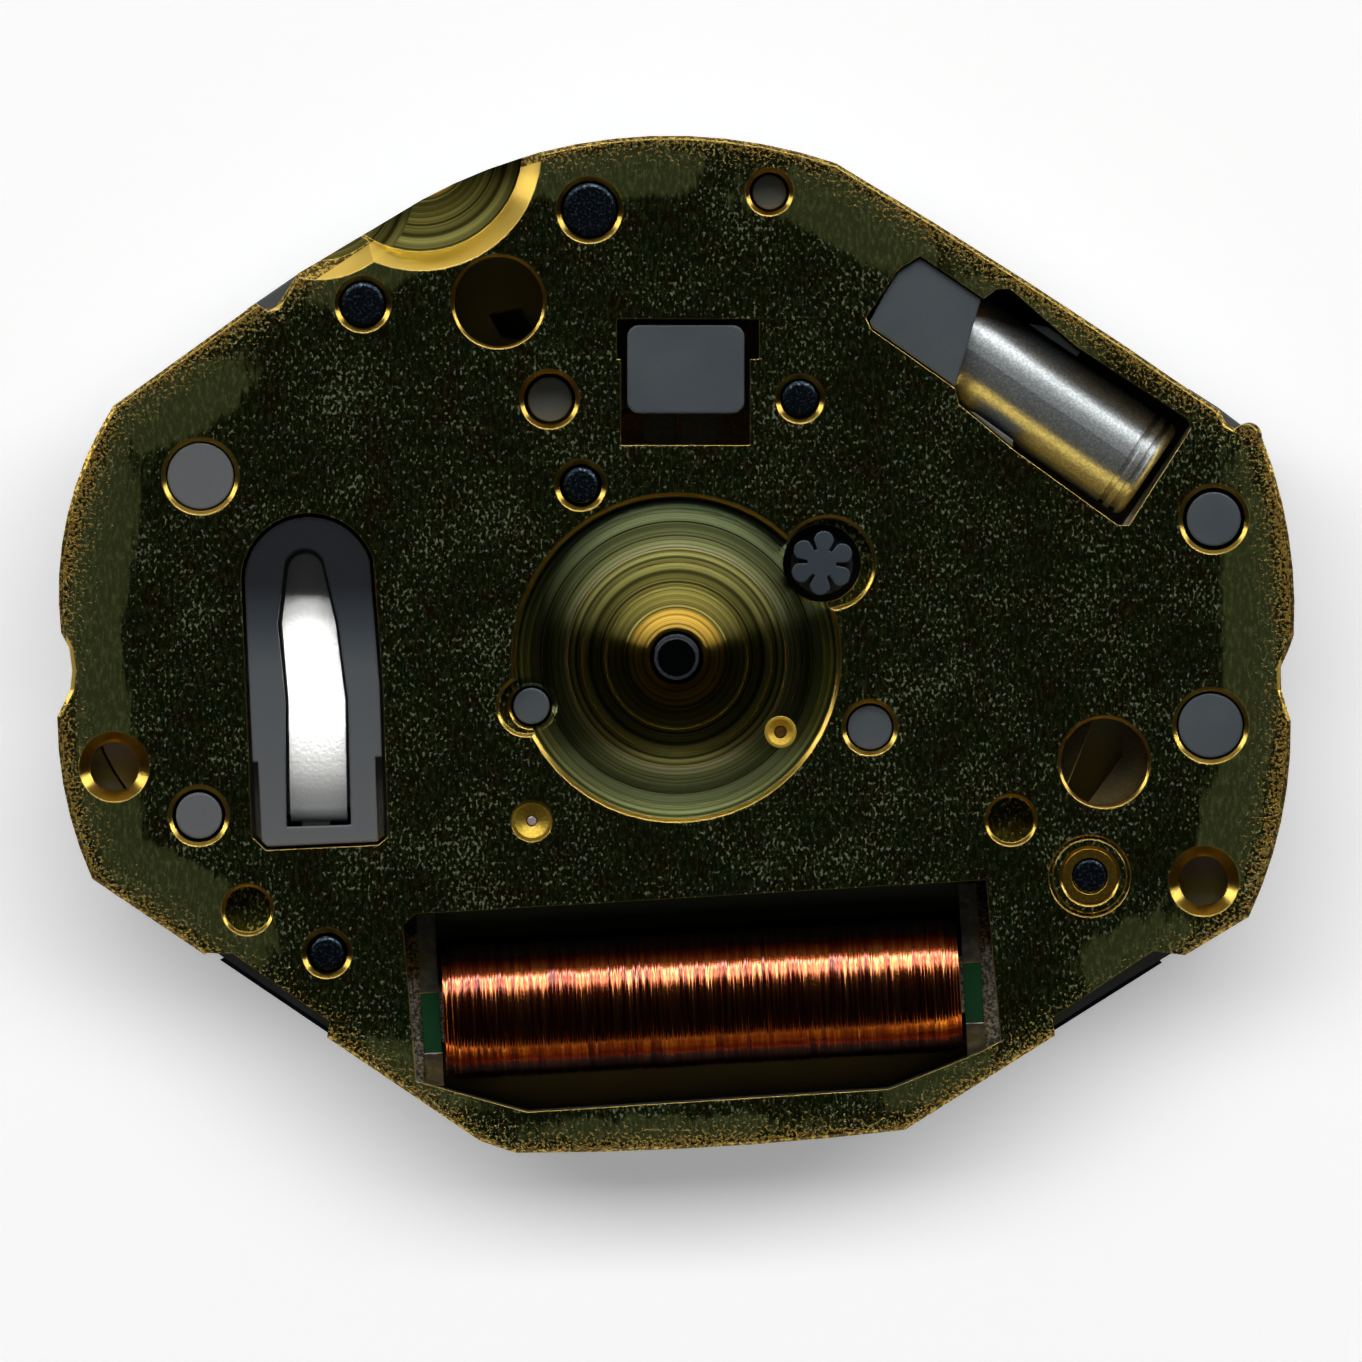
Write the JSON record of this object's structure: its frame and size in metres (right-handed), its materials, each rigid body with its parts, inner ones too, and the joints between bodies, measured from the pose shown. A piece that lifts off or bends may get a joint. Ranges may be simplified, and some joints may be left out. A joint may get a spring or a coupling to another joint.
{
  "type": "quartz watch movement",
  "caption": "Small oval two-hand quartz watch movement: brass plate over a plastic frame, coil, crystal can, battery, going train and setting work.",
  "frame": {"origin": "the hand axis in the plane of the dial face, at the hand post", "axes": "+X from the hand axis to the winding stem at 3 o'clock, +Y to 12 o'clock, +Z out of the dial face along the hand post"},
  "size_m": [0.0175, 0.0144, 0.0042],
  "materials": {
    "plate_brass": "gilt brass, brushed and stamped",
    "frame_plastic": "glass-filled plastic, moulded",
    "insulator_plastic": "moulded",
    "contact_steel": "stamped spring steel, nickel plated",
    "battery_steel": "drawn steel, nickel plated",
    "gasket_nylon": "moulded nylon",
    "coil_wire": "enamelled copper wire, wound",
    "coil_tape": "polyester tape",
    "core_iron": "soft iron, stamped and annealed",
    "end_board_resin": "glass-resin strip with green mask",
    "solder_tin": "tin solder",
    "turned_steel": "turned and hardened steel",
    "bush_brass": "turned brass",
    "ruby": "synthetic ruby, polished",
    "spacer_plastic": "stamped plastic sheet",
    "board_resin": "glass-resin circuit board",
    "chip_resin": "cast black resin",
    "cover_steel": "stamped stainless steel",
    "can_metal": "drawn and tinned metal can",
    "header_glass": "sealing glass",
    "quartz": "etched quartz",
    "wheel_brass": "gilt brass, stamped and cut",
    "pinion_steel": "cut and polished steel",
    "magnet_alloy": "sintered magnet",
    "wheel_plastic": "moulded plastic",
    "keyless_steel": "stamped steel"
  },
  "bodies": {
    "movement": {"main_plate": "plate_brass", "middle_frame": "frame_plastic", "battery_insulator": "insulator_plastic", "minus_contact": "contact_steel", "plus_contact": "contact_steel", "coil_winding": "coil_wire", "coil_core_tape": "coil_tape", "coil_core": "core_iron", "coil_end_boards": "end_board_resin", "coil_end_pads": "solder_tin", "stator": "core_iron", "coil_tubes": "bush_brass", "coil_screws": "turned_steel", "frame_pillars": "turned_steel", "bridge_pillars": "turned_steel", "cover_tubes": "bush_brass", "cover_screws": "turned_steel", "bridge_screws": "turned_steel", "train_bridge": "plate_brass", "rotor_jewel": "ruby", "third_bush": "bush_brass", "rotor_bush": "bush_brass", "lever_pin": "turned_steel", "lever_collar": "bush_brass", "circuit_spacer": "spacer_plastic", "circuit_board": "board_resin", "ic_chip": "chip_resin", "solder_joints": "solder_tin", "circuit_cover": "cover_steel", "crystal_can": "can_metal", "crystal_header": "header_glass", "crystal_leads": "solder_tin", "crystal_fork": "quartz", "setting_spring": "contact_steel", "spring_screw": "turned_steel"},
    "centre": {"centre_wheel": "wheel_brass", "centre_arbor": "pinion_steel", "cannon_pinion": "pinion_steel"},
    "third": {"third_wheel": "wheel_brass", "third_pinion": "pinion_steel"},
    "intermediate": {"intermediate_wheel": "wheel_brass", "intermediate_pinion": "pinion_steel"},
    "rotor": {"rotor_pinion": "pinion_steel", "rotor_magnet": "magnet_alloy"},
    "minute": {"minute_wheel": "wheel_plastic"},
    "setting": {"setting_wheel": "keyless_steel"},
    "clutch": {"clutch_wheel": "keyless_steel"},
    "lever": {"setting_lever": "keyless_steel"},
    "clutch_lever": {"yoke": "keyless_steel"},
    "battery": {"cell_can": "battery_steel", "cell_cap": "battery_steel", "cell_gasket": "gasket_nylon"}
  },
  "joints": [
    {"name": "intermediate_wheel_turn", "type": "hinge", "parent": "movement", "child": "intermediate", "pos_m": [-0.0001, -0.00208, -0.001], "axis": [0, 0, 1], "continuous": true},
    {"name": "rotor_turn", "type": "hinge", "parent": "movement", "child": "rotor", "pos_m": [-0.00204, -0.00231, -0.001], "axis": [0, 0, 1], "continuous": true},
    {"name": "third_wheel_turn", "type": "hinge", "parent": "movement", "child": "third", "pos_m": [0.00147, -0.00105, -0.001], "axis": [0, 0, 1], "continuous": true},
    {"name": "centre_wheel_turn", "type": "hinge", "parent": "movement", "child": "centre", "pos_m": [0, 0, -0.001], "axis": [0, 0, 1], "continuous": true},
    {"name": "minute_wheel_turn", "type": "hinge", "parent": "movement", "child": "minute", "pos_m": [0.00206, 0.00133, -0.001], "axis": [0, 0, 1], "continuous": true},
    {"name": "setting_wheel_turn", "type": "hinge", "parent": "movement", "child": "setting", "pos_m": [0.00411, 0, -0.001], "axis": [0, 0, 1], "continuous": true},
    {"name": "setting_lever_swing", "type": "hinge", "parent": "movement", "child": "lever", "pos_m": [0.00584, -0.00309, -0.001], "axis": [0, 0, -1], "range_deg": [0, 7.5]},
    {"name": "yoke_swing", "type": "hinge", "parent": "movement", "child": "clutch_lever", "pos_m": [0.00472, -0.0023, -0.001], "axis": [0, 0, 1], "range_deg": [0, 7.5]},
    {"name": "clutch_wheel_slide", "type": "slide", "parent": "movement", "child": "clutch", "axis": [-1, 0, 0], "range_m": [0, 0.00025]},
    {"name": "battery_lift", "type": "slide", "parent": "movement", "child": "battery", "axis": [0, 0, -1], "range_m": [0, 0.003]}
  ],
  "couplings": [
    {"joint": "third_wheel_turn", "follows": "centre_wheel_turn", "ratio": -6},
    {"joint": "intermediate_wheel_turn", "follows": "centre_wheel_turn", "ratio": 21},
    {"joint": "rotor_turn", "follows": "centre_wheel_turn", "ratio": -90},
    {"joint": "minute_wheel_turn", "follows": "centre_wheel_turn", "ratio": -0.5},
    {"joint": "setting_wheel_turn", "follows": "centre_wheel_turn", "ratio": 1},
    {"joint": "setting_lever_swing", "follows": "clutch_wheel_slide", "rad_per_m": 523.6},
    {"joint": "yoke_swing", "follows": "clutch_wheel_slide", "rad_per_m": 523.6}
  ]
}
